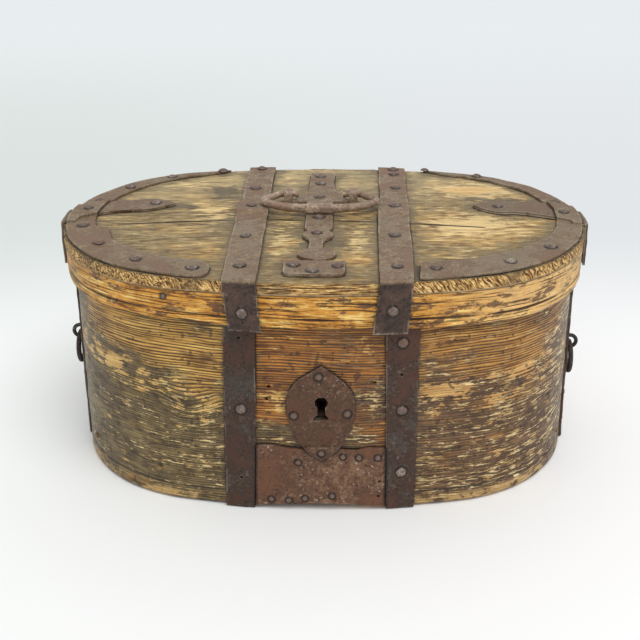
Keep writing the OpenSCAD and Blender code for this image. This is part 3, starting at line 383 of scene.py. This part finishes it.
def lid_wood():
    """Weathered pine board: tan and gold streaks along it, olive and grey stains near the iron."""
    material, shader, place = new_finish("lid_wood")
    x, y, z = place.axes()
    near = measured(place, "near_iron")
    worn = measured(place, "worn")
    across = y + (place.grain(6.0, 2.0) - 0.5) * 0.018
    cloud = place.grain(24.0, 5.0, 0.68)
    mottle = place.grain(95.0, 4.0, 0.72)
    streak = join(x * 22.0, across * 90.0, z * 90.0).grain(1.0, 6.0, 0.74)
    fine = join(x * 90.0, across * 360.0, z * 360.0).grain(1.0, 3.0, 0.70)
    broad = join(x * 9.0, y * 22.0, z * 22.0).grain(1.0, 4.0, 0.64)
    tone = streak * 0.42 + fine * 0.26 + cloud * 0.14 + mottle * 0.18
    gold = tone.rise(0.41, 0.50).mixed(rgb(0.180, 0.112, 0.042), rgb(0.480, 0.312, 0.115))
    gold = tone.rise(0.50, 0.60).mixed(gold, rgb(0.920, 0.680, 0.300))
    warmer = (1 - y.rise(-0.110, -0.020)) * (1 - x.size().rise(0.05, 0.19))
    warmer = warmer.most(x.rise(0.04, 0.14) * 0.55)
    warm = tone.rise(0.38, 0.61).mixed(rgb(0.230, 0.105, 0.026), rgb(0.880, 0.550, 0.175))
    gold = (warmer * 0.65).mixed(gold, warm)

    # Olive and brown weather marks, then the places that were rubbed pale or stained dark
    greyer = spot(place, (-0.140, -0.040, LID_TOP), (0.070, 0.060, 0.02)) * 0.22
    grey = (broad * 0.7 + cloud * 0.5 + (mottle - 0.5) * 0.5 + near * 0.16 + greyer).rise(0.56, 0.72)
    weather = (fine * 0.5 + mottle * 0.5).rise(0.40, 0.60)
    weather = weather.mixed(rgb(0.115, 0.086, 0.044), rgb(0.330, 0.252, 0.135))
    colour = (grey * 0.74).mixed(gold, weather)
    dark = spot(place, (-0.096, 0.081, LID_TOP), (0.046, 0.034, 0.02))
    for centre, reach in (((-0.140, 0.034, LID_TOP), (0.044, 0.016, 0.02)),
                          ((0.162, 0.054, LID_TOP), (0.048, 0.022, 0.02)),
                          ((-0.004, -0.060, LID_TOP), (0.044, 0.020, 0.02)),
                          ((-0.002, -0.108, LID_TOP), (0.040, 0.020, 0.02))):
        dark = dark.most(spot(place, centre, reach))
    pale = spot(place, (-0.146, 0.096, LID_TOP), (0.060, 0.022, 0.02))
    for centre, reach in (((-0.187, 0.028, LID_TOP), (0.022, 0.020, 0.02)),
                          ((-0.096, 0.016, LID_TOP), (0.030, 0.044, 0.02)),
                          ((-0.036, -0.053, LID_TOP), (0.022, 0.060, 0.02)),
                          ((0.036, -0.050, LID_TOP), (0.022, 0.060, 0.02)),
                          ((0.137, 0.084, LID_TOP), (0.064, 0.026, 0.02)),
                          ((0.130, -0.010, LID_TOP), (0.066, 0.044, 0.02))):
        pale = pale.most(spot(place, centre, reach))
    back = y.rise(0.02, 0.11) * 0.30
    colour = back.mixed(colour, rgb(0.560, 0.480, 0.300))
    pale = pale * 0.60 + x.rise(0.06, 0.12) * 0.22 + (streak - 0.5) * 2.0
    pale = (pale + (fine - 0.5) * 1.2 + (mottle - 0.5) * 0.8).rise(0.30, 0.58)
    colour = (pale * 0.68).mixed(colour, rgb(0.900, 0.660, 0.310))
    orange = spot(place, (0.137, 0.084, LID_TOP), (0.050, 0.018, 0.02)) + (cloud - 0.5) * 1.4
    colour = (orange.rise(0.25, 0.60) * 0.45).mixed(colour, rgb(0.720, 0.400, 0.120))
    dark = (dark * 0.9 + (cloud - 0.5) * 1.8 + (mottle - 0.5) * 1.0).rise(0.34, 0.62)
    colour = (dark * 0.74).mixed(colour, rgb(0.098, 0.080, 0.054))
    scratch = join(x * 14.0, across * 950.0, z * 950.0).grain(1.0, 2.0, 0.6).rise(0.575, 0.64)
    colour = (scratch * (0.35 + cloud.rise(0.45, 0.60) * 0.5)).mixed(colour, rgb(0.105, 0.068, 0.032))
    split = measured(place, "near_crack")
    colour = (split.rise(0.20, 0.60) * 0.95).mixed(colour, rgb(0.030, 0.020, 0.012))
    colour = stained(colour, near, cloud * 0.6 + mottle * 0.4, rgb(0.185, 0.143, 0.082), 0.62, 0.72)

    # The board's edge: short torn fibres that lean and curl, gold against dark brown
    side = 1 - facing_up(place).rise(0.35, 0.75)
    curl = (place.grain(60.0, 2.0) - 0.5) * 0.010
    torn = join((x + z * 0.8 + curl) * 620.0, (y + z * 0.4 + curl) * 620.0, z * 90.0)
    torn = torn.grain(1.0, 3.0, 0.70)
    middle = 1 - x.size().rise(0.055, 0.085)
    torn = torn + (join(x * 60.0, y * 60.0, z * 700.0).grain(1.0, 4.0, 0.7) - torn) * middle
    edge_wood = torn.rise(0.43, 0.51).mixed(rgb(0.105, 0.042, 0.013), rgb(0.560, 0.300, 0.085))
    edge_wood = torn.rise(0.51, 0.60).mixed(edge_wood, rgb(0.980, 0.680, 0.280))
    edge_wood = (cloud.rise(0.53, 0.62) * 0.55).mixed(edge_wood, rgb(0.130, 0.080, 0.045))
    edge_wood = (worn.rise(0.70, 0.95) * 0.6).mixed(edge_wood, rgb(0.050, 0.024, 0.012))
    # Painted contact shadow on the board's edge beside the iron
    edge_wood = (near.rise(0.955, 0.99) * 0.7).mixed(edge_wood, PAINTED_SHADE)
    colour = side.mixed(colour, edge_wood)
    under = 1 - z.rise(BOARD_LOW + 0.0005, BOARD_LOW + 0.0015)
    clean = tone.rise(0.38, 0.60).mixed(rgb(0.270, 0.165, 0.078), rgb(0.520, 0.360, 0.190))
    colour = under.mixed(colour, clean)

    height = streak * 0.7 + fine * 0.5 + side * torn * 1.4 - scratch * 0.3 + mottle * 0.3
    finish_with(shader, colour, 0.48 + grey * 0.12, height, 0.0015, 0.3)
    return material


def plain_wood(name, dark, light):
    """Wood of the bottom board, the pegs and the root lacing."""
    material, shader, place = new_finish(name)
    x, y, z = place.axes()
    along = join(x * 8.0, y * 90.0, z * 260.0).grain(1.0, 3.0, 0.6)
    cloud = place.grain(20.0, 3.0)
    colour = (along * 0.7 + cloud * 0.3).rise(0.36, 0.64).mixed(dark, light)
    finish_with(shader, colour, 0.62 + cloud * 0.1, along, 0.0004, 0.3)
    return material


# Iron


def old_iron(name, dark, mid, pale, rust, bare, gloss=0.0, dust=0.15, bent=None, cool=None,
             in_plates=None):
    """Forged iron under dull rust: dark scale, brown rust, pits, pale dust and worn edges, with painted
    shade beside nails and covering pieces.

    Some irons are two other, darker colours where they bend down from the lid, as painted shade on the
    faces turned down; cooler in places; or another colour where they sit in the plates of the front.
    """
    material, shader, place = new_finish(name)
    x, _, z = place.axes()
    edge = measured(place, "edge")
    shaded_by_cover = measured(place, "near_cover")
    cloud = place.grain(26.0, 4.0, 0.62)
    patch = place.grain(110.0, 4.0, 0.70)
    grit = place.grain(430.0, 3.0, 0.65)
    colour = (cloud * 0.45 + patch * 0.35 + grit * 0.20).rise(0.38, 0.60).mixed(dark, mid)
    colour = ((cloud * 0.3 + patch * 0.3 + grit * 0.4).rise(0.51, 0.62) * 0.65).mixed(colour, pale)
    colour = ((1 - cloud * 0.7 - patch * 0.3).rise(0.50, 0.60) * 0.60).mixed(colour, rust)
    if cool:
        colour = ((cloud * 0.8 + patch * 0.2).rise(0.50, 0.60) * 0.65).mixed(colour, cool)
    # Painted shade: darker where the iron bends down from the lid
    if bent:
        down = 1 - z.rise(LID_TOP - 0.0015, LID_TOP + 0.0015)
        low = (patch * 0.4 + cloud * 0.3 + grit * 0.3).rise(0.40, 0.60).mixed(bent[0], bent[1])
        colour = down.mixed(colour, low)
    if in_plates:
        front = (1 - x.size().rise(0.046, 0.050)) * (1 - z.rise(0.160, 0.170))
        colour = (front * 0.8).mixed(colour, in_plates)
    pits = 1 - grit.rise(0.31, 0.38)
    colour = (pits * 0.55).mixed(colour, rgb(0.020, 0.012, 0.009))
    specks = place.grain(330.0, 1.0).rise(0.66, 0.71) * cloud.rise(0.42, 0.56) * dust
    colour = specks.mixed(colour, rgb(0.560, 0.480, 0.390))
    colour = (measured(place, "darker") * 0.55).mixed(colour, dark)
    rubbed = edge.rise(0.25, 0.75) * (patch + cloud).rise(0.86, 1.10)
    colour = (rubbed * 0.30).mixed(colour, bare)
    # Painted shade beside nails, covering pieces and, on nails, the piece below
    colour = (shaded_by_cover.rise(0.35, 0.85) * 0.88).mixed(colour, PAINTED_SHADE)
    roughness = 0.50 - gloss + cloud * 0.10 + grit * 0.14 - rubbed * 0.12
    height = patch * 0.8 + grit * 0.28 + cloud * 0.5 - pits * 0.30
    finish_with(shader, colour, roughness, height, 0.0013, 0.3 + gloss, metallic=0.12)
    return material


def dress(material, *names):
    """Gives the nodes one material."""
    for name in names:
        slots = nodes[name].data.materials
        slots.clear()
        slots.append(material)


def dress_all():
    dress(body_wood(), "body_wall")
    dress(lid_wood(), "lid_board")
    dress(rim_wood(), "lid_rim")
    dress(plain_wood("bottom_wood", rgb(0.24, 0.15, 0.075), rgb(0.50, 0.35, 0.19)), "bottom_board")
    dress(plain_wood("peg_wood", rgb(0.13, 0.07, 0.03), rgb(0.30, 0.18, 0.08)), "bottom_pegs")
    dress(plain_wood("root_lacing", rgb(0.22, 0.14, 0.06), rgb(0.50, 0.35, 0.16)),
          "wall_lacing", "rim_lacing")

    strap = old_iron("strap_iron", rgb(0.034, 0.021, 0.015), rgb(0.078, 0.045, 0.032),
                     rgb(0.170, 0.112, 0.080), rgb(0.115, 0.048, 0.030), rgb(0.330, 0.255, 0.200),
                     cool=rgb(0.058, 0.054, 0.048))
    dress(strap, "body_strap_left", "body_strap_right", "body_hinge_left", "body_hinge_right",
          "body_end_strap_left", "body_end_strap_right")

    plate = old_iron("plate_iron", rgb(0.066, 0.033, 0.020), rgb(0.160, 0.079, 0.045),
                     rgb(0.280, 0.172, 0.104), rgb(0.200, 0.084, 0.042), rgb(0.420, 0.320, 0.240),
                     dust=0.5)
    dress(plate, "lower_plate", "keyhole_plate")

    # Paler than the front straps' iron: partly dust, partly a painted sheen of the light on faces that
    # look up; darker where it bends down, as painted shade
    lid = old_iron("lid_iron", rgb(0.130, 0.086, 0.052), rgb(0.270, 0.184, 0.112),
                   rgb(0.440, 0.320, 0.200), rgb(0.260, 0.140, 0.086), rgb(0.520, 0.430, 0.330),
                   gloss=0.08, bent=(rgb(0.030, 0.018, 0.013), rgb(0.088, 0.049, 0.034)),
                   cool=rgb(0.195, 0.155, 0.102))
    dress(lid, "lid_hinge_left", "lid_hinge_right", "lid_strap_left", "lid_strap_right",
          "centre_strap", "staple_plate", "lid_end_strap_left", "lid_end_strap_right")

    crescent = old_iron("crescent_iron", rgb(0.125, 0.085, 0.050), rgb(0.250, 0.168, 0.098),
                        rgb(0.420, 0.300, 0.180), rgb(0.240, 0.135, 0.080),
                        rgb(0.520, 0.430, 0.320), gloss=0.08, cool=rgb(0.185, 0.147, 0.094))
    dress(crescent, "crescent_left", "crescent_right")

    handle = old_iron("handle_iron", rgb(0.160, 0.108, 0.074), rgb(0.370, 0.262, 0.182),
                      rgb(0.600, 0.470, 0.340), rgb(0.340, 0.190, 0.125), rgb(0.560, 0.460, 0.360),
                      gloss=0.14)
    dress(handle, "handle", "handle_eye_left", "handle_eye_right")

    ring = old_iron("ring_iron", rgb(0.020, 0.018, 0.017), rgb(0.050, 0.037, 0.031),
                    rgb(0.100, 0.080, 0.068), rgb(0.075, 0.043, 0.033), rgb(0.180, 0.145, 0.125))
    dress(ring, "ring_left", "ring_right", "ring_staple_left", "ring_staple_right")

    pin = old_iron("pin_iron", rgb(0.040, 0.030, 0.024), rgb(0.090, 0.060, 0.043),
                   rgb(0.180, 0.135, 0.100), rgb(0.110, 0.053, 0.035), rgb(0.260, 0.205, 0.160))
    dress(pin, "hinge_pin_left", "hinge_pin_right")

    lock = old_iron("lock_iron", rgb(0.055, 0.042, 0.033), rgb(0.120, 0.076, 0.051),
                    rgb(0.210, 0.155, 0.112), rgb(0.150, 0.068, 0.041), rgb(0.300, 0.240, 0.190))
    dress(lock, "lock_plate", "lock_bolt", "bolt_keepers", "bolt_spring", "key_bridge", "lock_staple")

    nail = old_iron("nail_iron", rgb(0.075, 0.050, 0.038), rgb(0.175, 0.122, 0.094),
                    rgb(0.470, 0.380, 0.310), rgb(0.210, 0.112, 0.078), rgb(0.150, 0.105, 0.080),
                    gloss=0.22, in_plates=rgb(0.155, 0.088, 0.056))
    dress(nail, "lid_nails", "rim_nails", "body_nails", "lock_nails")


# Worn copies of the wooden pieces and the iron

# How far apart the pieces are cut before they are worn, in metres
LENGTH_CUT = 0.0040
WALL_CUT = 0.0013
RIM_CUT = 0.0008
GRAIN_CUT = 0.0014
EDGE_CUT = 0.0015
EDGE_ROW = 0.0012
IRON_CUT = 0.0026
PLATE_CUT = 0.0013

# How far off iron, nails, covering plates, the piece under a nail and the crack still show: the iron's
# stain and its painted contact shadow, and painted shade by nails and covers
IRON_REACH = 0.030
NAIL_REACH = 0.003
COVER_REACH = 0.005
UNDER_REACH = 0.0016
CRACK_REACH = 0.002

# Edges sharper than this stay sharp, in radians, and the width that iron edges are rounded to
WOOD_SHARP = 1.0
IRON_SHARP = 0.9
IRON_ROUND = 0.0006

# Depth of wear that counts as 1 for the materials
FULL_WEAR = 0.0016

# The iron keeps its exact shape this near the hinge line, and is fully uneven this much farther off
KNUCKLE_REACH = 0.009
KNUCKLE_EASE = 0.020

# Faces larger than this, in square metres, are flat ones that no wear reached
FLAT_FROM = 0.0002


def outline(place):
    """How far a place stands in from the lid's outline, and the way out from there."""
    along, across = abs(place.x), abs(place.y)
    if along * SIDE_K > (across + SIDE_K) * END_X:
        arm = Vector((place.x - (END_X if place.x > 0 else -END_X), place.y, 0.0))
        return END_R - arm.length, arm.normalized()
    arm = Vector((place.x, place.y + (SIDE_K if place.y > 0 else -SIDE_K), 0.0))
    return SIDE_R - arm.length, arm.normalized()


def swirl(place, x, y, z, start=0.0):
    """Smooth noise from about -1 to 1, with its own scale along each axis."""
    return noise.noise(Vector((place.x * x + start, place.y * y, place.z * z)))


def wall_relief(place, out):
    """Depth worn off the wall: growth ridges round the box, hollows and a few chips."""
    depth = 0.00055 + 0.00040 * swirl(place, 8, 8, 260, 3.0) + 0.00024 * swirl(place, 14, 14, 100, 8.0)
    depth += 0.00026 * swirl(place, 22, 22, 40, 1.0)
    chip = swirl(place, 48, 48, 130, 5.0) - 0.40
    return depth + 0.0026 * max(chip, 0.0)


# Grooves along the rim: height above its lower edge, half width and depth
RIM_GROOVES = ((0.0042, 0.00070, 0.0008), (0.0082, 0.00090, 0.0014), (0.0150, 0.00060, 0.0007),
               (0.0215, 0.00060, 0.0009))


def rim_relief(place, out):
    """Depth worn off the rim: torn fibres over it, long grooves and a rounded lower lip."""
    up = place.z - RIM_LOW + RIM_FALL * place.x
    depth = 0.00060 + 0.00055 * swirl(place, 34, 34, 330, 2.0) + 0.00040 * swirl(place, 26, 26, 90, 6.0)
    for height, half, deep in RIM_GROOVES:
        sway = 0.0012 * swirl(place, 13, 13, 0, height * 900.0)
        uneven = 0.6 + 1.2 * swirl(place, 16, 16, 0, height * 700.0)
        depth += deep * uneven * exp(-((up - height - sway) / half) ** 2)
    return depth + 0.0007 * max(0.0, 1.0 - up / 0.0022)


def board_relief(place, out):
    """Depth worn off the lid board: grooves along its length above and torn fibres at its edge."""
    if out.z > 0.9:
        depth = 0.00040 + 0.00034 * swirl(place, 12, 240, 0, 4.0)
        depth += 0.00024 * swirl(place, 18, 70, 0, 2.0)
        return depth + 0.0016 * max(0.0, swirl(place, 55, 130, 0, 7.0) - 0.42)
    # The lowest row wears like the one above it, which leaves the underside a sharp edge
    place = Vector((place.x, place.y, max(place.z, BOARD_LOW + EDGE_ROW)))
    lean = Vector((place.x + place.z * 0.9, place.y + place.z * 0.5, place.z))
    torn = 0.00055 * swirl(lean, 260, 260, 100, 1.0) + 0.00035 * swirl(place, 70, 70, 180, 5.0)
    return 0.00080 + torn + 0.00045 * swirl(place, 20, 20, 40, 9.0)


def frange(low, high, step):
    """Places a step apart, from one step above low."""
    count = int((high - low) / step)
    return [low + step * (i + 1) for i in range(count)]


def clean_copy(name):
    """The node's mesh in a workshop of its own, welded and with flat faces whole."""
    work = bmesh.new()
    work.from_mesh(nodes[name].data)
    bmesh.ops.remove_doubles(work, verts=work.verts, dist=0.00001)
    bmesh.ops.dissolve_limit(work, angle_limit=0.002, verts=work.verts, edges=work.edges)
    work.normal_update()
    return work


def sliced(work, faces, axis, places):
    """Cuts faces square to an axis at each place, lowest first, and returns all the parts."""
    rest, done = list(faces), []
    for place in places:
        parts = dict.fromkeys(rest)
        for face in rest:
            parts.update(dict.fromkeys(face.verts))
            parts.update(dict.fromkeys(face.edges))
        at = Vector((0.0, 0.0, 0.0))
        along = at.copy()
        at[axis] = place
        along[axis] = 1.0
        cut = bmesh.ops.bisect_plane(work, geom=list(parts), plane_co=at, plane_no=along, dist=0.000001)
        rest = []
        for face in cut["geom"]:
            if isinstance(face, bmesh.types.BMFace):
                beyond = face.calc_center_median()[axis] > place
                (rest if beyond else done).append(face)
    return done + rest


def roughen(work, faces, relief):
    """Wears wood away by its relief, and keeps the depth at each point for its material."""
    depth_of = work.verts.layers.float.new("worn")
    out_of = {}
    for face in faces:
        for point in face.verts:
            out_of[point] = out_of.get(point, Vector((0.0, 0.0, 0.0))) + face.normal
    for point, out in out_of.items():
        out = out.normalized()
        depth = max(0.00005, relief(point.co, out))
        point[depth_of] = min(1.0, depth / FULL_WEAR)
        point.co -= out * depth


def mark(work, name, tree, reach):
    """Keeps how near each point is to other pieces: 1 where they touch, 0 from the reach away."""
    layers = work.verts.layers.float
    near_of = layers.get(name) or layers.new(name)
    for point in work.verts:
        apart = tree.find_nearest(point.co, reach)[3]
        if apart is not None:
            point[near_of] = max(point[near_of], 1.0 - apart / reach)


def tree_of(names):
    """The meshes of several nodes as one tree for distances."""
    points, faces = [], []
    for name in names:
        mesh = nodes[name].data
        start = len(points)
        points.extend(point.co.copy() for point in mesh.vertices)
        faces.extend([start + corner for corner in face.vertices] for face in mesh.polygons)
    return BVHTree.FromPolygons(points, faces)


def crack_tree(work):
    """The floor of the drying crack in the lid board."""
    points, faces = [], []
    for face in work.faces:
        if abs(face.calc_center_median().z - CRACK_LOW) < 0.00001:
            start = len(points)
            points.extend(point.co.copy() for point in face.verts)
            faces.append(list(range(start, len(points))))
    return BVHTree.FromPolygons(points, faces)


def outer_faces(work, depth):
    """Upright faces that look out of the box and stand no deeper than the given depth."""
    found = []
    for face in work.faces:
        inset, out = outline(face.calc_center_median())
        if inset < depth and face.normal.dot(out) > 0.8:
            found.append(face)
    return found


def stand_in(name, work, smooth):
    """A new piece with the worn mesh, in the node's place, body and finish."""
    source = nodes[name]
    mesh = bpy.data.meshes.new("worn_" + name)
    work.to_mesh(mesh)
    work.free()
    mesh.materials.append(source.data.materials[0])
    mesh.shade_smooth()
    mesh.set_sharp_from_angle(angle=smooth)
    for face in mesh.polygons:
        if face.area > FLAT_FROM:
            face.use_smooth = False
    piece = bpy.data.objects.new("worn_" + name, mesh)
    bpy.context.scene.collection.objects.link(piece)
    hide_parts(name)
    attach(piece, source["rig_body"])
    return piece


def wear_wall(iron):
    wall = clean_copy("body_wall")
    shell = sliced(wall, outer_faces(wall, 0.012), 0, frange(-0.228, 0.228, LENGTH_CUT))
    shell = sliced(wall, shell, 2, frange(0.0030, 0.2000, WALL_CUT))
    roughen(wall, shell, wall_relief)
    mark(wall, "near_iron", iron, IRON_REACH)
    stand_in("body_wall", wall, WOOD_SHARP)


def wear_rim(iron):
    rim = clean_copy("lid_rim")
    shell = sliced(rim, outer_faces(rim, 0.003), 0, frange(-0.228, 0.228, LENGTH_CUT))
    shell = sliced(rim, shell, 1, frange(-0.148, 0.148, LENGTH_CUT))
    shell = sliced(rim, shell, 2, frange(0.1680, 0.2008, RIM_CUT))
    roughen(rim, shell, rim_relief)
    mark(rim, "near_iron", iron, IRON_REACH)
    stand_in("lid_rim", rim, WOOD_SHARP)


def wear_board(iron):
    board = clean_copy("lid_board")
    crack = crack_tree(board)
    edge = outer_faces(board, 0.001)
    edge = sliced(board, edge, 0, frange(-0.2285, 0.2285, EDGE_CUT))
    edge = sliced(board, edge, 1, frange(-0.1485, 0.1485, EDGE_CUT))
    edge = sliced(board, edge, 2, frange(BOARD_LOW, LID_TOP - 0.0003, EDGE_ROW))
    level = [face for face in board.faces if face.normal.z > 0.9]
    top = [face for face in level if face.calc_center_median().z > LID_TOP - 0.001]
    top = sliced(board, top, 0, frange(-0.228, 0.228, LENGTH_CUT))
    top = sliced(board, top, 1, frange(-0.1490, 0.1490, GRAIN_CUT))
    roughen(board, edge + top, board_relief)
    mark(board, "near_iron", iron, IRON_REACH)
    near_crack = board.verts.layers.float.new("near_crack")
    for point in board.verts:
        apart = crack.find_nearest(Vector((point.co.x, point.co.y, CRACK_LOW)), CRACK_REACH)[3]
        point[near_crack] = 0.0 if apart is None else 1.0 - apart / CRACK_REACH
    stand_in("lid_board", board, WOOD_SHARP)


def hammered(place):
    """How far a smith's hammer has left the iron off its true shape at a place."""
    hinge = Vector((place.y - HINGE_LINE[0], place.z - HINGE_LINE[1])).length
    share = min(1.0, max(0.0, (hinge - KNUCKLE_REACH) / KNUCKLE_EASE))
    slow = Vector([swirl(place, 34, 34, 34, start) for start in (1.0, 21.0, 41.0)])
    quick = Vector((swirl(place, 130, 130, 130, 3.0), swirl(place, 130, 130, 130, 23.0), 0.0))
    return (slow * 0.00075 + quick * 0.00030) * share


def cut_up(work, name):
    """Cuts a forged piece across all three axes, so that it can be left uneven."""
    first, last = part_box(name)
    apart = PLATE_CUT if name in ("lower_plate", "keyhole_plate") else IRON_CUT
    faces = list(work.faces)
    for axis in range(3):
        faces = sliced(work, faces, axis, frange(first[axis], last[axis] - 0.0005, apart))


def wear_iron():
    """Leaves outlines and faces of the iron a little uneven, and marks their sharp edges."""
    low, high = cad_box
    nails = tree_of(NAILS)
    under_nails = tree_of(FORGED + ("lid_board", "lid_rim", "body_wall"))
    for name in FORGED + NAILS:
        work = clean_copy(name)
        if name in FORGED:
            cut_up(work, name)
            # Painted shade rings round the nails and beside covering pieces
            mark(work, "near_cover", nails, NAIL_REACH)
            if name in COVERS:
                mark(work, "near_cover", tree_of(COVERS[name]), COVER_REACH)
            shade_of = work.verts.layers.float.new("darker")
            for point in work.verts:
                point[shade_of] = DARKER.get(name, 0.0)
        else:
            # Painted shade round each nail's head where it meets the piece under it
            mark(work, "near_cover", under_nails, UNDER_REACH)
        edge_of = work.verts.layers.float.new("edge")
        for edge in work.edges:
            if edge.is_manifold and edge.calc_face_angle() > 1.2:
                edge.verts[0][edge_of] = edge.verts[1][edge_of] = 1.0
        for point in work.verts:
            place = point.co + hammered(point.co)
            point.co = [min(max(place[i], low[i]), high[i]) for i in range(3)]
        piece = stand_in(name, work, IRON_SHARP)
        if name in FORGED:
            soften(piece, IRON_ROUND)


def soften(piece, width):
    """Rounds the sharp edges of a piece."""
    bevel = piece.modifiers.new("worn edge", "BEVEL")
    bevel.width = width
    bevel.segments = 2
    bevel.limit_method = "ANGLE"
    bevel.angle_limit = 0.7


# Floor, light and camera

CAMERA_AT = Vector((0.02693, -1.01269, 0.5721))
CAMERA_PITCH = radians(24.36)
CAMERA_YAW = radians(-1.73)
CAMERA_ROLL = radians(-0.37)
CAMERA_LENS = 67.74

FLOOR_SIZE = 200.0
FLOOR_DROP = 0.0002
SKY_STRENGTH = 0.74
LAMP_STRENGTH = 1.4
LAMP_WIDTH = radians(40)
LAMP_AIM = Vector((-0.26, 0.48, -1.0))


def pale_floor():
    """A wide floor: nearly white round the box, pale grey behind it and far away; the grey to the left,
    behind and far off is painted shade for the light falling off there.
    """
    bpy.ops.mesh.primitive_plane_add(size=FLOOR_SIZE, location=(0.0, 0.0, -FLOOR_DROP))
    floor = bpy.context.object
    floor.name = "floor"
    material, shader, place = new_finish("pale_floor")
    x, y, _ = place.axes()
    # Painted shade: the floor greys to the left, behind the box and far off, for the light falling off
    # there
    left = 1 - x.rise(-0.50, 0.30)
    far = rgb(0.735, 0.765, 0.775)
    colour = left.mixed(rgb(0.940, 0.938, 0.935), rgb(0.885, 0.905, 0.890))
    colour = place.vector_math("LENGTH", place, out=1).rise(0.42, 0.95).mixed(colour, far)
    behind = left.mixed(rgb(0.70, 0.72, 0.73), rgb(0.65, 0.69, 0.665))
    colour = y.rise(0.05, 0.62).mixed(colour, behind)
    colour = y.rise(0.80, 2.00).mixed(colour, far)
    material.node_tree.links.new(colour.socket, shader.inputs["Base Color"])
    shader.inputs["Roughness"].default_value = 0.6
    shader.inputs["Specular IOR Level"].default_value = 0.2
    floor.data.materials.append(material)


def soft_light():
    """An even pale sky and one broad, soft lamp from the upper right of the front."""
    world = bpy.data.worlds.new("studio")
    bpy.context.scene.world = world
    world.use_nodes = True
    world.node_tree.nodes["Background"].inputs["Color"].default_value = rgb(0.98, 0.99, 1.0)
    world.node_tree.nodes["Background"].inputs["Strength"].default_value = SKY_STRENGTH
    lamp = bpy.data.lights.new("window", "SUN")
    lamp.energy = LAMP_STRENGTH
    lamp.angle = LAMP_WIDTH
    lamp_object = bpy.data.objects.new("window", lamp)
    bpy.context.scene.collection.objects.link(lamp_object)
    lamp_object.rotation_mode = "QUATERNION"
    lamp_object.rotation_quaternion = LAMP_AIM.to_track_quat("-Z", "Y")


def camera():
    """Camera at the photograph's place: pitched down, turned a little and rolled a little."""
    flat = cos(CAMERA_PITCH)
    ahead = Vector((sin(CAMERA_YAW) * flat, cos(CAMERA_YAW) * flat, -sin(CAMERA_PITCH)))
    level = Vector((cos(CAMERA_YAW), -sin(CAMERA_YAW), 0.0))
    above = level.cross(ahead)
    right = level * cos(CAMERA_ROLL) + above * sin(CAMERA_ROLL)
    up = above * cos(CAMERA_ROLL) - level * sin(CAMERA_ROLL)
    made = bpy.data.cameras.new("camera")
    made.lens = CAMERA_LENS
    made.sensor_width = 36.0
    made.clip_start = 0.05
    camera_object = bpy.data.objects.new("camera", made)
    bpy.context.scene.collection.objects.link(camera_object)
    turn = Matrix((right, up, -ahead)).transposed().to_4x4()
    camera_object.matrix_world = Matrix.Translation(CAMERA_AT) @ turn
    bpy.context.scene.camera = camera_object


camera()
pale_floor()
soft_light()
dress_all()
all_iron = tree_of(FORGED + NAILS + OTHER_IRON)
wear_wall(all_iron)
wear_rim(all_iron)
wear_board(all_iron)
wear_iron()
bpy.context.scene.view_settings.view_transform = "Standard"
